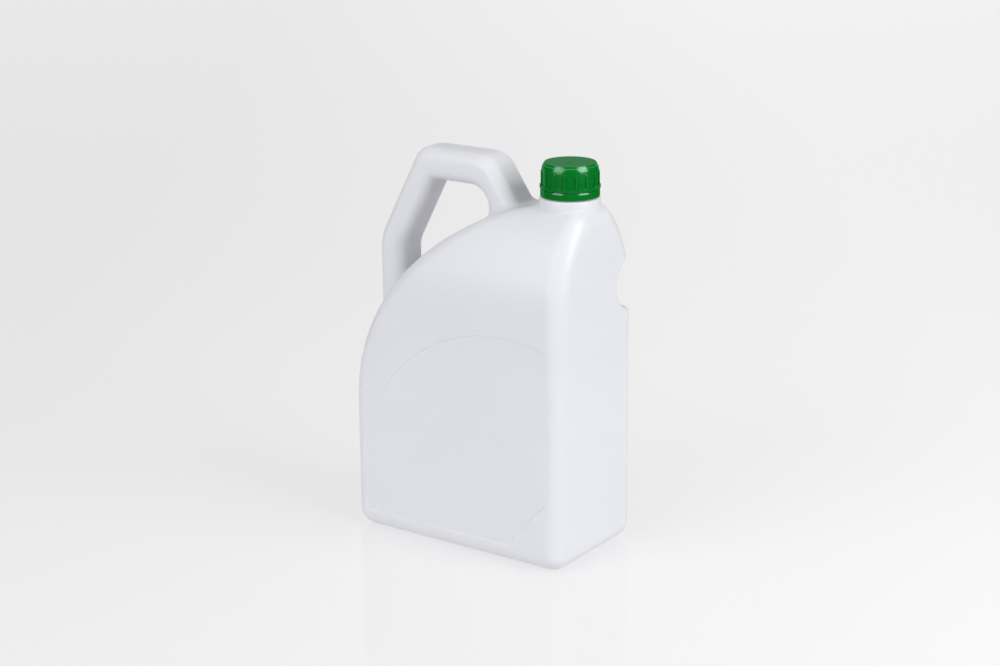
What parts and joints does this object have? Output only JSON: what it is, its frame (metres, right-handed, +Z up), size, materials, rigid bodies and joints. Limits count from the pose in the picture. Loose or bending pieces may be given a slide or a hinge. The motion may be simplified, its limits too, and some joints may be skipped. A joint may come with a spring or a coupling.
{
  "type": "plastic jerrycan",
  "caption": "Upright rectangular plastic jerrycan with rounded shoulder, hollow loop handle at the back and a ribbed screw cap over a corner neck.",
  "frame": {"origin": "on the floor under the middle of the base", "axes": "+X towards the front end that carries the neck and cap, +Y towards the broad face with the finger groove, +Z up"},
  "size_m": [0.205, 0.1104, 0.32],
  "materials": {
    "natural_hdpe": "milky natural polyethylene, blow moulded, soft satin",
    "green_cap_plastic": "injection moulded, satin green",
    "green_band_plastic": "injection moulded, satin green",
    "liner_foam": "white foamed polyethylene sheet"
  },
  "bodies": {
    "can": {"jerrycan_body": "natural_hdpe", "tamper_band": "green_band_plastic"},
    "liner": {"cap_liner": "liner_foam"},
    "cap": {"screw_cap": "green_cap_plastic"}
  },
  "joints": [
    {"name": "cap_lift", "type": "slide", "parent": "can", "child": "liner", "axis": [0, 0, 1], "range_m": [0, 0.017]},
    {"name": "cap_turn", "type": "hinge", "parent": "liner", "child": "cap", "pos_m": [0.0761, 0, 0.31], "axis": [0, 0, 1], "range_deg": [0, 1530]}
  ],
  "couplings": [
    {"joint": "cap_lift", "follows": "cap_turn", "m_per_rad": 0.00063662}
  ]
}
